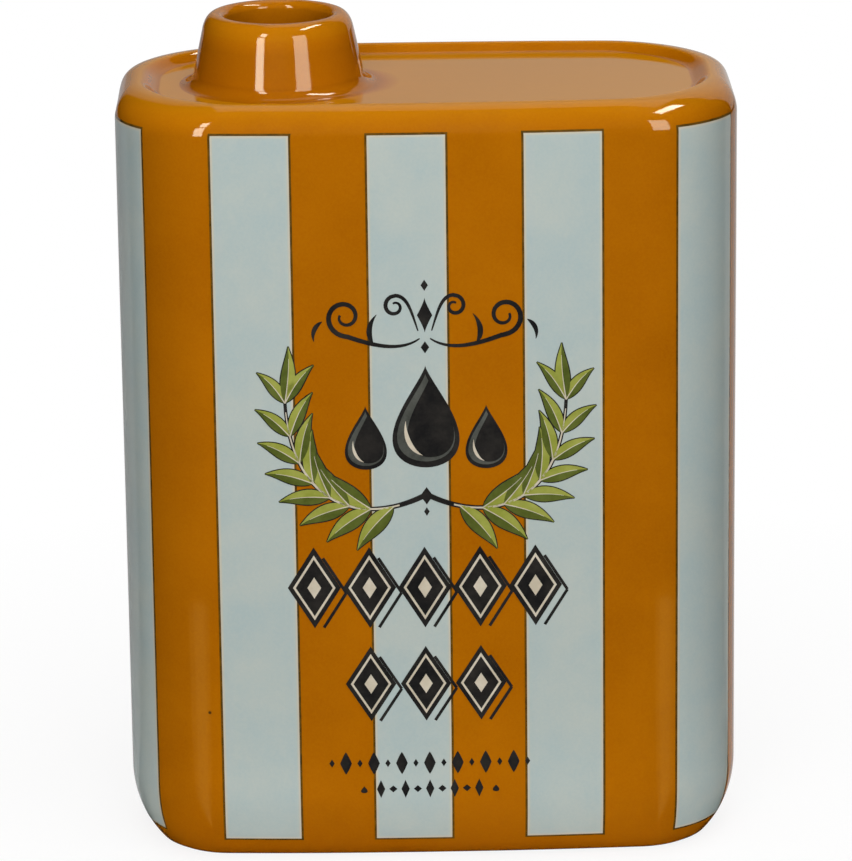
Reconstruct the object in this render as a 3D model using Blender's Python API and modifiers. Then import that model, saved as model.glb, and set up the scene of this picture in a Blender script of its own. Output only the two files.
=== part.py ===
"""Olive oil cruet: a slip-cast, glazed bottle in the shape of a rectangular oil can.

The bottle is one hollow piece of fired clay. Its plan is a rounded rectangle whose long sides bow
out a little, so every ring of the body is the same outline, moved in by an inset and up by a height.
Eleven pale bands of fired-on colour lie in the wall, each a thin curved piece in its own shallow bed.

Metres, +Z up. The origin is in the middle of the foot's plane, and the front faces -Y.
"""

import math

import bmesh
import bpy

# The plan
WIDTH = 0.110               # across the two ends
DEPTH = 0.0542              # front to back beside the corners, before the long sides bow out
CROWN = 0.0029              # how far the middle of each long side bows out
CORNER_RADIUS = 0.0174      # upright corners

# The outside, from the foot up
FOOT_INSET = 0.0055         # the foot stands this far inside the wall
FOOT_EDGE = 0.0006          # soft edge between the foot and the heel
FOOT_WIDTH = 0.0036         # flat ring that the bottle stands on
FOOT_SLOPE = 0.0020         # width of the soft step from the ring up to the underside
UNDERSIDE_DEPTH = 0.0014    # the underside is hollowed by this much
HEEL_HEIGHT = 0.0139        # where the heel's curve runs out into the straight wall
HEEL_SWEEP = math.radians(50)
RIM_HEIGHT = 0.1393         # top of the raised rim
EDGE_INSET = 0.0042         # the rim's crest stands this far inside the wall
EDGE_DROP = 0.0054          # height of the rounding between wall and crest
CREST_ROUNDING = 0.0060     # the crest's corners have this much more radius than the wall's
RIM_SLOPE = 0.0018          # width of the soft step from the crest down to the top panel
PANEL_DEPTH = 0.0016        # the top panel lies this far below the crest

# The shell
WALL = 0.0045
FLOOR = 0.0050
CEILING = 0.0046
INSIDE_ROUNDING = 0.0045    # the hollow's lower and upper edges

# The spout
SPOUT_OFFSET = 0.0260       # towards the left end
SPOUT_RISE = 0.0112         # from the rim's crest up to the top of the lip
LIP_CREST_RADIUS = 0.0110   # middle of the lip's top
LIP_CREST_FLAT = 0.0004
LIP_RADIUS = 0.01325        # outside, just under the lip's rounding
SPOUT_ROOT_RADIUS = 0.0151  # outside, where the cove starts
COVE_RADIUS = 0.0022        # between the spout and the top panel
COVE_SWEEP = 78             # degrees of that cove, which ends just under the panel
BORE_RADIUS = 0.0094        # just under the lip
BORE_ROOT_RADIUS = 0.0106   # where the bore meets the hollow

# The bands
BAND_COUNT = 11
FIRST_BAND_EDGE = -0.0377   # left edge of the first front band, along the wall from the front's middle
BAND_SHARE = 0.5            # pale share of each repeat
BAND_FOOT = 0.0044          # height of a band's lower end, on the heel
BAND_DROP = 0.0047          # from the rim's crest down to a band's upper end
BAND_THICKNESS = 0.0006
SEAT_GAP = 0.0003           # between a band and its bed

# Fineness
LONG_STEPS = 10             # facets along a long side
CORNER_STEPS = 9            # facets round a corner
END_STEPS = 3               # facets along an end
EDGE_STEPS = 8              # facets up the heel, and up the top rounding
SLOPE_STEPS = 6             # facets down from the crest to the top panel
FOOT_STEPS = 4              # facets from the underside down to the foot ring
INSIDE_STEPS = 4            # facets up each rounded edge of the hollow
SPOUT_STEPS = 44            # facets round the spout
LIP_STEPS = 6               # facets over the lip's outside
SPOUT_EDGE_STEPS = 5        # facets up the cove, and over the lip's inside
BAND_COLUMNS = 5            # facets across a band
BAND_HEEL_STEPS = 4         # facets up the part of a band that lies on the heel
BAND_HEAD_STEPS = 2         # facets up the part that lies on the top rounding

# Worked out from the sizes above
LONG_RUN = WIDTH / 2 - CORNER_RADIUS
END_RUN = DEPTH / 2 - CORNER_RADIUS
CORNER_ARC = CORNER_RADIUS * math.pi / 2
OUTLINE = 4 * (LONG_RUN + CORNER_ARC + END_RUN)
HEEL_REACH = FOOT_INSET / (1 - math.cos(HEEL_SWEEP))
HEEL_RISE = HEEL_HEIGHT / math.sin(HEEL_SWEEP)
PANEL_HEIGHT = RIM_HEIGHT - PANEL_DEPTH
PANEL_INSET = EDGE_INSET + RIM_SLOPE
LIP_HEIGHT = RIM_HEIGHT + SPOUT_RISE
BAND_HEAD = RIM_HEIGHT - BAND_DROP
HOLLOW_FLOOR = UNDERSIDE_DEPTH + FLOOR
HOLLOW_TOP = PANEL_HEIGHT - CEILING
REPEAT = OUTLINE / BAND_COUNT

BAND_NAMES = (
    "stripe_front_left", "stripe_front_middle", "stripe_front_right",
    "stripe_front_right_corner", "stripe_right_end", "stripe_back_right_corner",
    "stripe_back_right", "stripe_back_middle", "stripe_back_left",
    "stripe_back_left_corner", "stripe_front_left_corner",
)


def clear_scene():
    for item in list(bpy.data.objects):
        bpy.data.objects.remove(item, do_unlink=True)


def make_collection(name):
    collection = bpy.data.collections.new(name)
    bpy.context.scene.collection.children.link(collection)
    return collection


def make_material(name, colour, roughness):
    material = bpy.data.materials.new(name)
    material.use_nodes = True
    shader = material.node_tree.nodes["Principled BSDF"]
    shader.inputs["Base Color"].default_value = (*colour, 1)
    shader.inputs["Roughness"].default_value = roughness
    shader.inputs["Metallic"].default_value = 0
    shader.inputs["Coat Weight"].default_value = 0.6
    material.diffuse_color = (*colour, 1)
    return material


def make_object(name, bm, collection, material=None):
    mesh = bpy.data.meshes.new(name)
    bm.to_mesh(mesh)
    bm.free()
    item = bpy.data.objects.new(name, mesh)
    collection.objects.link(item)
    if material:
        mesh.materials.append(material)
        mesh.shade_smooth()
        mesh.set_sharp_from_angle(angle=math.radians(40))
    return item


def hide_cutter(item):
    item.hide_render = True
    item.display_type = "WIRE"


def cut(item, tool, operation="DIFFERENCE"):
    boolean = item.modifiers.new(tool.name, "BOOLEAN")
    boolean.operation = operation
    boolean.solver = "EXACT"
    boolean.object = tool


def corner_growth(inset, height):
    """Radius added to a ring's corners: none on the upright wall, the most at the rim's crest."""
    if height <= RIM_HEIGHT - EDGE_DROP:
        return 0.0
    return CREST_ROUNDING * min(inset / EDGE_INSET, 1)


def outline_point(path, inset, growth):
    """Plan position, path metres round from the front's middle towards the right, moved in by inset."""
    path %= OUTLINE
    side_x, side_y = 1, -1
    if path > OUTLINE / 2:
        path, side_x = OUTLINE - path, -1
    if path > OUTLINE / 4:
        path, side_y = OUTLINE / 2 - path, 1
    turn = min(max((path - LONG_RUN) / CORNER_RADIUS, 0), math.pi / 2)
    past_corner = max(path - LONG_RUN - CORNER_ARC, 0)
    radius = CORNER_RADIUS + growth - inset
    x = min(path, LONG_RUN) * (1 - growth / LONG_RUN) + radius * math.sin(turn)
    y = (END_RUN - past_corner) * (1 - growth / END_RUN) + radius * math.cos(turn)
    bow = 1 + CROWN / (DEPTH / 2) * (1 - (x / (WIDTH / 2)) ** 2)
    return side_x * x, side_y * y * bow


def outline_stations():
    """Places along the outline where each ring of the body has a corner of its mesh."""
    stretches = (
        (LONG_RUN, LONG_STEPS // 2), (CORNER_ARC, CORNER_STEPS),
        (2 * END_RUN, END_STEPS), (CORNER_ARC, CORNER_STEPS),
        (2 * LONG_RUN, LONG_STEPS), (CORNER_ARC, CORNER_STEPS),
        (2 * END_RUN, END_STEPS), (CORNER_ARC, CORNER_STEPS),
        (LONG_RUN, LONG_STEPS // 2),
    )
    stations = []
    start = 0.0
    for length, steps in stretches:
        stations += [start + length * step / steps for step in range(steps)]
        start += length
    return stations


def arc(centre, radii, start, end, steps):
    """Points of an elliptical arc in a section, with its angles in degrees, ends included."""
    points = []
    for step in range(steps + 1):
        angle = math.radians(start + (end - start) * step / steps)
        across = centre[0] + radii[0] * math.cos(angle)
        points.append((across, centre[1] + radii[1] * math.sin(angle)))
    return points


def soft_step(start, end, steps):
    """Points of an S-shaped step in a section, without its first end."""
    points = []
    for step in range(1, steps + 1):
        share = step / steps
        rise = (1 - math.cos(math.pi * share)) / 2
        across = start[0] + (end[0] - start[0]) * share
        points.append((across, start[1] + (end[1] - start[1]) * rise))
    return points


def loft(section):
    """A closed body whose rings follow the outline, one for each (inset, height) of the section."""
    bm = bmesh.new()
    stations = outline_stations()
    rings = []
    for inset, height in section:
        growth = corner_growth(inset, height)
        ring = [bm.verts.new((*outline_point(path, inset, growth), height)) for path in stations]
        rings.append(ring)
    count = len(stations)
    for lower, upper in zip(rings, rings[1:]):
        for index in range(count):
            following = (index + 1) % count
            bm.faces.new((lower[index], lower[following], upper[following], upper[index]))
    bm.faces.new(reversed(rings[0]))
    bm.faces.new(rings[-1])
    return bm


def wall_inset(height):
    """How far the outer wall lies inside the outline at this height."""
    if height < HEEL_HEIGHT:
        sine = (HEEL_HEIGHT - height) / HEEL_RISE
        return HEEL_REACH * (1 - math.sqrt(1 - sine ** 2))
    above = height - (RIM_HEIGHT - EDGE_DROP)
    if above > 0:
        return EDGE_INSET * (1 - math.sqrt(1 - (above / EDGE_DROP) ** 2))
    return 0.0


def body_section():
    """The outside in section, from the hollowed underside, round the foot, up to the top panel."""
    ring_inner = FOOT_INSET + FOOT_EDGE + FOOT_WIDTH
    section = [(ring_inner + FOOT_SLOPE, UNDERSIDE_DEPTH)]
    section += soft_step(section[0], (ring_inner, 0.0), FOOT_STEPS)
    section.append((FOOT_INSET + FOOT_EDGE, 0.0))
    heel_start = math.degrees(math.asin((HEEL_HEIGHT - FOOT_EDGE) / HEEL_RISE))
    heel_radii = (HEEL_REACH, HEEL_RISE)
    section += arc((HEEL_REACH, HEEL_HEIGHT), heel_radii, 180 + heel_start, 180, EDGE_STEPS)
    edge_centre = (EDGE_INSET, RIM_HEIGHT - EDGE_DROP)
    section += arc(edge_centre, (EDGE_INSET, EDGE_DROP), 180, 90, EDGE_STEPS)
    section += soft_step(section[-1], (PANEL_INSET, PANEL_HEIGHT), SLOPE_STEPS)
    return section


def hollow_section():
    """The inside in section: it follows the outside at the wall's thickness."""
    rounding = (INSIDE_ROUNDING, INSIDE_ROUNDING)
    low_side = WALL + wall_inset(HOLLOW_FLOOR + INSIDE_ROUNDING)
    low_centre = (low_side + INSIDE_ROUNDING, HOLLOW_FLOOR + INSIDE_ROUNDING)
    high_centre = (WALL + INSIDE_ROUNDING, HOLLOW_TOP - INSIDE_ROUNDING)
    section = arc(low_centre, rounding, 270, 180, INSIDE_STEPS)
    section += [(WALL, HEEL_HEIGHT + WALL)]
    section += arc(high_centre, rounding, 180, 90, INSIDE_STEPS)
    return section


def turned(name, profile, collection):
    """A solid of revolution about the spout's axis, from a profile that runs down its outer side."""
    bm = bmesh.new()
    points = [bm.verts.new((radius, 0, height)) for radius, height in profile]
    for upper, lower in zip(points, points[1:]):
        bm.edges.new((upper, lower))
    item = make_object(name, bm, collection)
    item.location.x = -SPOUT_OFFSET
    screw = item.modifiers.new("Turn", "SCREW")
    screw.steps = SPOUT_STEPS
    screw.render_steps = SPOUT_STEPS
    screw.use_merge_vertices = True
    screw.merge_threshold = 0.00001
    hide_cutter(item)
    return item


def spout_profile():
    """Outside of the spout: lip, cone, cove, then a plug that reaches down into the top panel."""
    crest = LIP_CREST_RADIUS + LIP_CREST_FLAT / 2
    lip_width = LIP_RADIUS - crest
    lip_centre = (crest, LIP_HEIGHT - lip_width)
    cove_centre = (SPOUT_ROOT_RADIUS + COVE_RADIUS, PANEL_HEIGHT + COVE_RADIUS)
    profile = [(0, LIP_HEIGHT)]
    profile += arc(lip_centre, (lip_width, lip_width), 90, 0, LIP_STEPS)
    cove_radii = (COVE_RADIUS, COVE_RADIUS)
    profile += arc(cove_centre, cove_radii, 180, 180 + COVE_SWEEP, SPOUT_EDGE_STEPS)
    plug_radius = profile[-1][0]
    profile.append((plug_radius, PANEL_HEIGHT - CEILING / 2))
    profile.append((0, PANEL_HEIGHT - CEILING / 2))
    return profile


def bore_profile():
    """The bore: it opens out over the lip, widens a little downwards and flares into the hollow."""
    crest = LIP_CREST_RADIUS - LIP_CREST_FLAT / 2
    mouth_width = crest - BORE_RADIUS
    mouth_centre = (crest, LIP_HEIGHT - mouth_width)
    flare = CEILING / 2
    above = LIP_HEIGHT + mouth_width
    profile = [(0, above), (crest, above)]
    profile += arc(mouth_centre, (mouth_width, mouth_width), 90, 180, SPOUT_EDGE_STEPS)
    profile.append((BORE_ROOT_RADIUS, HOLLOW_TOP + flare))
    profile.append((BORE_ROOT_RADIUS + flare, HOLLOW_TOP))
    profile.append((BORE_ROOT_RADIUS + flare, HOLLOW_TOP - flare))
    profile.append((0, HOLLOW_TOP - flare))
    return profile


def band_heights(clearance):
    """Heights of a band's rows: close together where the wall curves, with one long plain stretch."""
    foot = BAND_FOOT - clearance
    head = BAND_HEAD + clearance
    edge_start = RIM_HEIGHT - EDGE_DROP
    heights = []
    for step in range(BAND_HEEL_STEPS + 1):
        heights.append(foot + (HEEL_HEIGHT - foot) * step / BAND_HEEL_STEPS)
    heights.append((HEEL_HEIGHT + edge_start) / 2)
    for step in range(BAND_HEAD_STEPS + 1):
        heights.append(edge_start + (head - edge_start) * step / BAND_HEAD_STEPS)
    return heights


def band_sheet(index, clearance):
    """An open grid, bent round the wall where band number index lies."""
    heights = band_heights(clearance)
    rows = len(heights) - 1
    bm = bmesh.new()
    bmesh.ops.create_grid(bm, x_segments=BAND_COLUMNS, y_segments=rows, size=0.5)
    start = FIRST_BAND_EDGE + index * REPEAT - clearance
    length = REPEAT * BAND_SHARE + 2 * clearance
    for point in bm.verts:
        path = start + (point.co.x + 0.5) * length
        height = heights[round((point.co.y + 0.5) * rows)]
        inset = wall_inset(height)
        point.co = (*outline_point(path, inset, corner_growth(inset, height)), height)
    return bm


def thicken(item, inwards, outwards=0.0):
    solidify = item.modifiers.new("Thickness", "SOLIDIFY")
    solidify.thickness = inwards + outwards
    solidify.offset = 2 * outwards / (inwards + outwards) - 1
    solidify.use_even_offset = True


def make_bands(parts, material):
    for index, name in enumerate(BAND_NAMES):
        band = make_object(name, band_sheet(index, 0.0), parts, material)
        thicken(band, BAND_THICKNESS)


def make_body(parts, cutters, material):
    body = make_object("vessel_body", loft(body_section()), parts, material)
    cut(body, turned("spout_outside", spout_profile(), cutters), "UNION")
    hollow = make_object("hollow", loft(hollow_section()), cutters)
    hide_cutter(hollow)
    cut(body, hollow)
    cut(body, turned("bore", bore_profile(), cutters))
    for index, name in enumerate(BAND_NAMES):
        bed = make_object("bed_of_" + name, band_sheet(index, SEAT_GAP), cutters)
        thicken(bed, BAND_THICKNESS + SEAT_GAP, outwards=BAND_THICKNESS)
        hide_cutter(bed)
        cut(body, bed)


def main():
    clear_scene()
    parts = make_collection("olive_oil_cruet")
    cutters = make_collection("cutters")
    ochre = make_material("ochre_glaze", (0.39, 0.125, 0.005), 0.12)
    pale = make_material("pale_band", (0.41, 0.51, 0.53), 0.18)
    make_body(parts, cutters, ochre)
    make_bands(parts, pale)


main()
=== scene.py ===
# %% [markdown]
# # A glazed oil bottle in the shape of a tin
#
# This lesson dresses a bottle for cooking oil, cast in clay, glazed ochre and striped in pale blue.
# The engineering model stays as it is. It says how big the bottle is and where its
# bands lie. What is missing is all that the eye likes: soft curves, a glassy skin, thin printed
# lines and light that runs along the edges.

# %% Load the imported part
import math

import bmesh
import bpy
from mathutils import Matrix, Vector


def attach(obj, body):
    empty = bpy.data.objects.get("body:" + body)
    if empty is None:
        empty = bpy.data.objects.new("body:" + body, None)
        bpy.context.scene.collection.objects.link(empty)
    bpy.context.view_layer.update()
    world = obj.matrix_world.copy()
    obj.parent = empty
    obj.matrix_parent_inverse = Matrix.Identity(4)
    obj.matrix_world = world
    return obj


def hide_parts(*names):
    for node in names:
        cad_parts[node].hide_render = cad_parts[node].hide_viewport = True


MM = 0.001
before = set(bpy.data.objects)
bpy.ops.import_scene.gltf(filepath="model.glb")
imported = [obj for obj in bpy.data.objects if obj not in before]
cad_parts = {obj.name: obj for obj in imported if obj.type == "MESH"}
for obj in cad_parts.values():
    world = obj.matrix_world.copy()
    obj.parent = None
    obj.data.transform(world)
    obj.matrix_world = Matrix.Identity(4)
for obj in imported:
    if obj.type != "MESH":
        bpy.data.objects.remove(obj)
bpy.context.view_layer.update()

# %% [markdown]
# ## The camera
#
# The picture was taken with a long lens, a little above the bottle and almost straight in front.
# A long lens keeps upright edges nearly parallel, which is why product pictures look calm. The
# camera could be placed by eye, but here it is solved from measured sizes. So its pose is written
# as three turns and a distance.

# %% Place the camera
PICTURE_WIDTH = 852  # pixels; the picture is 852 wide and 861 high
SENSOR_WIDTH = 36.0
FOCAL_PIXELS = 5142.99
LOOK_AT = Vector((-0.568, 0.0, 72.793)) * MM
DISTANCE = 933.67 * MM
YAW, PITCH, ROLL = -0.01078, 0.28238, -0.01195


def new_object(name, data):
    item = bpy.data.objects.new(name, data)
    bpy.context.scene.collection.objects.link(item)
    return item


data = bpy.data.cameras.new("picture_camera")
data.sensor_fit = "HORIZONTAL"
data.sensor_width = SENSOR_WIDTH
data.lens = FOCAL_PIXELS / PICTURE_WIDTH * SENSOR_WIDTH
data.clip_start = 0.05
data.clip_end = 20
camera = new_object("picture_camera", data)
level = math.cos(PITCH)
back = Vector((math.sin(YAW) * level, -math.cos(YAW) * level, math.sin(PITCH)))
side = (-back).cross(Vector((0, 0, 1))).normalized()
top = side.cross(-back)
right = side * math.cos(ROLL) + top * math.sin(ROLL)
up = top * math.cos(ROLL) - side * math.sin(ROLL)
turn = Matrix((right, up, back)).transposed().to_4x4()
camera.matrix_world = Matrix.Translation(LOOK_AT + back * DISTANCE) @ turn
bpy.context.scene.camera = camera
print("The lens is", round(camera.data.lens), "mm long")

# %% [markdown]
# ## The sizes
#
# These are the engineering model's own sizes. They could be typed where they are used, but a value
# that is named once is easy to find and to trust.

# %% Sizes of the bottle
WIDTH, DEPTH, CROWN, CORNER_RADIUS = 110 * MM, 54.2 * MM, 2.9 * MM, 17.4 * MM
FOOT_INSET, FOOT_EDGE, FOOT_WIDTH, FOOT_SLOPE = 5.5 * MM, 0.6 * MM, 3.6 * MM, 2.0 * MM
UNDERSIDE_DEPTH, HEEL_HEIGHT, HEEL_SWEEP = 1.4 * MM, 13.9 * MM, math.radians(50)
RIM_HEIGHT, EDGE_INSET, EDGE_DROP = 139.3 * MM, 4.2 * MM, 5.4 * MM
CREST_ROUNDING, RIM_SLOPE, PANEL_DEPTH = 6.0 * MM, 1.8 * MM, 1.6 * MM
WALL, FLOOR, CEILING, INSIDE_ROUNDING = 4.5 * MM, 5.0 * MM, 4.6 * MM, 4.5 * MM

LONG_RUN = WIDTH / 2 - CORNER_RADIUS
END_RUN = DEPTH / 2 - CORNER_RADIUS
CORNER_ARC = CORNER_RADIUS * math.pi / 2
OUTLINE = 4 * (LONG_RUN + CORNER_ARC + END_RUN)
HEEL_REACH = FOOT_INSET / (1 - math.cos(HEEL_SWEEP))
HEEL_RISE = HEEL_HEIGHT / math.sin(HEEL_SWEEP)
PANEL_HEIGHT = RIM_HEIGHT - PANEL_DEPTH
PANEL_INSET = EDGE_INSET + RIM_SLOPE
HOLLOW_FLOOR = UNDERSIDE_DEPTH + FLOOR
HOLLOW_TOP = PANEL_HEIGHT - CEILING
print("Once round the bottle is", round(OUTLINE / MM, 1), "mm")

# %% [markdown]
# ## The plan and the wall
#
# Seen from above the bottle is a rounded rectangle whose long sides bow out. A potter would cut a
# template of that outline and let it guide every ring. Here one function turns a length of walk
# along the outline, and a distance inwards, into a place on the plan. A second one says how far
# the wall draws in at each height. Every stripe, line and print is put on the wall with the same
# two, so nothing can float or sink.

# %% Walk along the outline, and draw in with height
def corner_growth(inset, height):
    """Radius added to a ring's corners: none on the upright wall, the most at the rim's crest."""
    if height <= RIM_HEIGHT - EDGE_DROP:
        return 0.0
    return CREST_ROUNDING * min(inset / EDGE_INSET, 1)


def outline_point(path, inset, growth):
    """Plan position, path metres round from the front's middle towards the right."""
    path %= OUTLINE
    side_x, side_y = 1, -1
    if path > OUTLINE / 2:
        path, side_x = OUTLINE - path, -1
    if path > OUTLINE / 4:
        path, side_y = OUTLINE / 2 - path, 1
    turn = min(max((path - LONG_RUN) / CORNER_RADIUS, 0), math.pi / 2)
    past_corner = max(path - LONG_RUN - CORNER_ARC, 0)
    radius = CORNER_RADIUS + growth - inset
    x = min(path, LONG_RUN) * (1 - growth / LONG_RUN) + radius * math.sin(turn)
    y = (END_RUN - past_corner) * (1 - growth / END_RUN) + radius * math.cos(turn)
    bow = 1 + CROWN / (DEPTH / 2) * (1 - (x / (WIDTH / 2)) ** 2)
    return side_x * x, side_y * y * bow


def wall_inset(height):
    if height < HEEL_HEIGHT:
        sine = (HEEL_HEIGHT - height) / HEEL_RISE
        return HEEL_REACH * (1 - math.sqrt(1 - sine ** 2))
    above = height - (RIM_HEIGHT - EDGE_DROP)
    if above > 0:
        return EDGE_INSET * (1 - math.sqrt(1 - (above / EDGE_DROP) ** 2))
    return 0.0


print("The wall draws in", round(wall_inset(0) / MM, 2), "mm at the foot")

# %% [markdown]
# ## A hand-made unevenness
#
# A cast bottle leaves its mould soft, dries, shrinks and is sponged by hand, so its wall waves by a
# few hundredths of a millimetre. The outline doesn't show it, but the highlights do. Noise could
# make it, but two slow sine waves are gentler. They only ever move the wall inwards, so the bottle
# keeps its size. The layers of glaze, line and print are named by how deep they lie under the
# engineering surface.

# %% The slow wave, and the layers
WAVE = 0.09 * MM
BODY_SUNK = 0.100 * MM
KEYLINE_SUNK = 0.075 * MM
STRIPE_SUNK = 0.055 * MM
PRINT_SUNK = 0.042 * MM
PRINT_STEP = 0.008 * MM  # each further layer of ink lies this much higher


def wave(path, height):
    turns = 2 * math.pi * path / OUTLINE
    slow = math.sin(3 * turns + 38 * height + 0.7)
    quick = math.sin(7 * turns - 64 * height + 2.1)
    return WAVE * (0.5 + 0.28 * slow + 0.22 * quick)


def wall_point(path, height, sunk):
    """A point of the waving outer wall, sunk below the engineering surface."""
    inset = wall_inset(height)
    growth = corner_growth(inset, height)
    return (*outline_point(path, inset + sunk + wave(path, height), growth), height)


print("The wave moves the wall by up to", round(WAVE / MM, 2), "mm")

# %% [markdown]
# ## How a finish is written
#
# Every finish here is a small tree of nodes on one Principled shader. It could be wired by hand in
# the shader editor. A helper that makes a node and wires it in one call keeps each recipe short
# enough to read like a recipe.

# %% Helpers for finishes
def start_finish(name, roughness=0.5, ior=1.5):
    material = bpy.data.materials.new(name)
    material.use_nodes = True
    shader = material.node_tree.nodes["Principled BSDF"]
    shader.inputs["Roughness"].default_value = roughness
    shader.inputs["IOR"].default_value = ior
    return material, material.node_tree, shader


def add_node(tree, kind, sockets, **settings):
    node = tree.nodes.new("ShaderNode" + kind)
    for key, value in settings.items():
        setattr(node, key, value)
    for key, value in sockets.items():
        if isinstance(value, bpy.types.NodeSocket):
            tree.links.new(value, node.inputs[key])
        else:
            node.inputs[key].default_value = value
    return node


def place_in_object(tree):
    return add_node(tree, "TexCoord", {}).outputs["Object"]


def maths(tree, operation, first, second):
    return add_node(tree, "Math", {0: first, 1: second}, operation=operation).outputs[0]


def mix_colours(tree, share, first, second):
    first, second = [colour if isinstance(colour, bpy.types.NodeSocket) else (*colour, 1)
                     for colour in (first, second)]
    return add_node(tree, "Mix", {0: share, 6: first, 7: second}, data_type="RGBA").outputs[2]


def spread(tree, value, low, high, to_low=0.0, to_high=1.0):
    """Stretches a value between low and high to another range, and stops at its ends."""
    sockets = {"Value": value, "From Min": low, "From Max": high,
               "To Min": to_low, "To Max": to_high}
    return add_node(tree, "MapRange", sockets).outputs["Result"]


def noise(tree, where, scale, detail=2.0, roughness=0.5):
    sockets = {"Vector": where, "Scale": scale, "Detail": detail, "Roughness": roughness}
    return add_node(tree, "TexNoise", sockets).outputs["Fac"]


print("Seven helpers are ready")

# %% [markdown]
# ## The ochre glaze
#
# Ochre glaze is coloured glass over clay. It gathers in hollows and turns darker there, and it runs
# thin over sharp edges and turns lighter. It holds a few dark specks of iron, and its skin is
# faintly pitted. All this could be painted by hand. Here the body's mesh carries a value, from 0 in
# a hollow over 0.5 on the plain wall to 1 on a sharp crest, and the finish reads it. The same value
# also paints light and shade into the colour: the top panel, the crests and the lip are lighter, and
# the cove, the heel, the rim's inner step and the neck are darker.

# %% Ochre glaze
OCHRE_DEEP = (0.372, 0.106, 0.0006)
OCHRE_PALE = (0.440, 0.134, 0.0012)
# the next two: thin glaze on edges plus painted light on crests and the top panel; pooled glaze plus
# painted shade
OCHRE_THIN_AND_LIT = (0.56, 0.225, 0.003)
OCHRE_POOL_AND_SHADE = (0.235, 0.062, 0.001)
IRON_SPECK = (0.05, 0.018, 0.003)
PINHOLE = wall_point(-40.1 * MM, 29.1 * MM, BODY_SUNK)  # one burst bubble, low on the left
WARM_MIRROR = (1.0, 0.95, 0.74, 1)
GLAZE_IOR = 1.45


def glaze_skin(tree, shader, where):
    """The uneven gloss that every glazed piece of the bottle shares."""
    gloss = spread(tree, noise(tree, where, 70, 3), 0.3, 0.7, 0.04, 0.075)
    tree.links.new(gloss, shader.inputs["Roughness"])
    broad = add_node(tree, "Bump", {
        "Height": noise(tree, where, 160, 2), "Strength": 0.35, "Distance": 0.00006,
    })
    fine = add_node(tree, "Bump", {
        "Height": noise(tree, where, 1500, 2), "Strength": 0.25, "Distance": 0.000004,
        "Normal": broad.outputs["Normal"],
    })
    tree.links.new(fine.outputs["Normal"], shader.inputs["Normal"])


ochre_glaze, tree, shader = start_finish("ochre_glaze", ior=GLAZE_IOR)
where = place_in_object(tree)
clouds = spread(tree, noise(tree, where, 42, 4, 0.6), 0.32, 0.68)
colour = mix_colours(tree, clouds, OCHRE_DEEP, OCHRE_PALE)
grain = spread(tree, noise(tree, where, 2400, 2), 0.3, 0.7, 0.0, 0.16)
colour = mix_colours(tree, grain, colour, OCHRE_THIN_AND_LIT)
thin = add_node(tree, "Attribute", {}, attribute_name="glaze_and_painted_light").outputs["Fac"]
# painted light and shade: lighter towards 1 and darker towards 0, on top of the glaze's own breaking
colour = mix_colours(tree, spread(tree, thin, 0.5, 1.0), colour, OCHRE_THIN_AND_LIT)
colour = mix_colours(tree, spread(tree, thin, 0.5, 0.0), colour, OCHRE_POOL_AND_SHADE)
cells = add_node(tree, "TexVoronoi", {"Vector": where, "Scale": 75})
chosen = spread(tree, cells.outputs["Color"], 0.80, 0.82)
dot = spread(tree, cells.outputs["Distance"], 0.022, 0.012)
colour = mix_colours(tree, maths(tree, "MULTIPLY", chosen, dot), colour, IRON_SPECK)
reach = add_node(tree, "VectorMath", {0: where, 1: PINHOLE}, operation="DISTANCE")
hole = spread(tree, reach.outputs["Value"], 0.40 * MM, 0.18 * MM)
colour = mix_colours(tree, hole, colour, IRON_SPECK)
tree.links.new(colour, shader.inputs["Base Color"])
shader.inputs["Specular Tint"].default_value = WARM_MIRROR
glaze_skin(tree, shader, where)
print("Ochre glaze has", len(ochre_glaze.node_tree.nodes), "nodes")

# %% [markdown]
# ## The bare clay of the foot
#
# Glaze melts and would glue the bottle to the kiln shelf, so the ring it stands on is wiped clean
# before firing. What shows there is bare fired clay: pale, matt and a little gritty.

# %% Bare clay
CLAY_PALE = (0.62, 0.52, 0.40)
CLAY_DARK = (0.42, 0.33, 0.24)

bare_clay, tree, shader = start_finish("bare_clay", 0.85)
where = place_in_object(tree)
grit = spread(tree, noise(tree, where, 900, 5, 0.7), 0.35, 0.7)
tree.links.new(mix_colours(tree, grit, CLAY_PALE, CLAY_DARK), shader.inputs["Base Color"])
bump = add_node(tree, "Bump", {
    "Height": noise(tree, where, 1800, 3), "Strength": 0.6, "Distance": 0.00005,
})
tree.links.new(bump.outputs["Normal"], shader.inputs["Normal"])
print("Bare clay has", len(bare_clay.node_tree.nodes), "nodes")

# %% [markdown]
# ## The body, ring by ring
#
# The real body is poured into a plaster mould as liquid clay. The clay sets against the plaster, the
# rest is poured out, and a hollow shell is left. Here it is lofted: a stack of rings, each with the
# same number of points, joined by strips of faces. It could also be carved from solids, but that
# leaves ragged faces where a round spout meets a flat top, and a glossy glaze shows every one. One
# loft from the underside over the rim, up the spout, down the bore and round the inside is a
# single clean skin.

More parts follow.
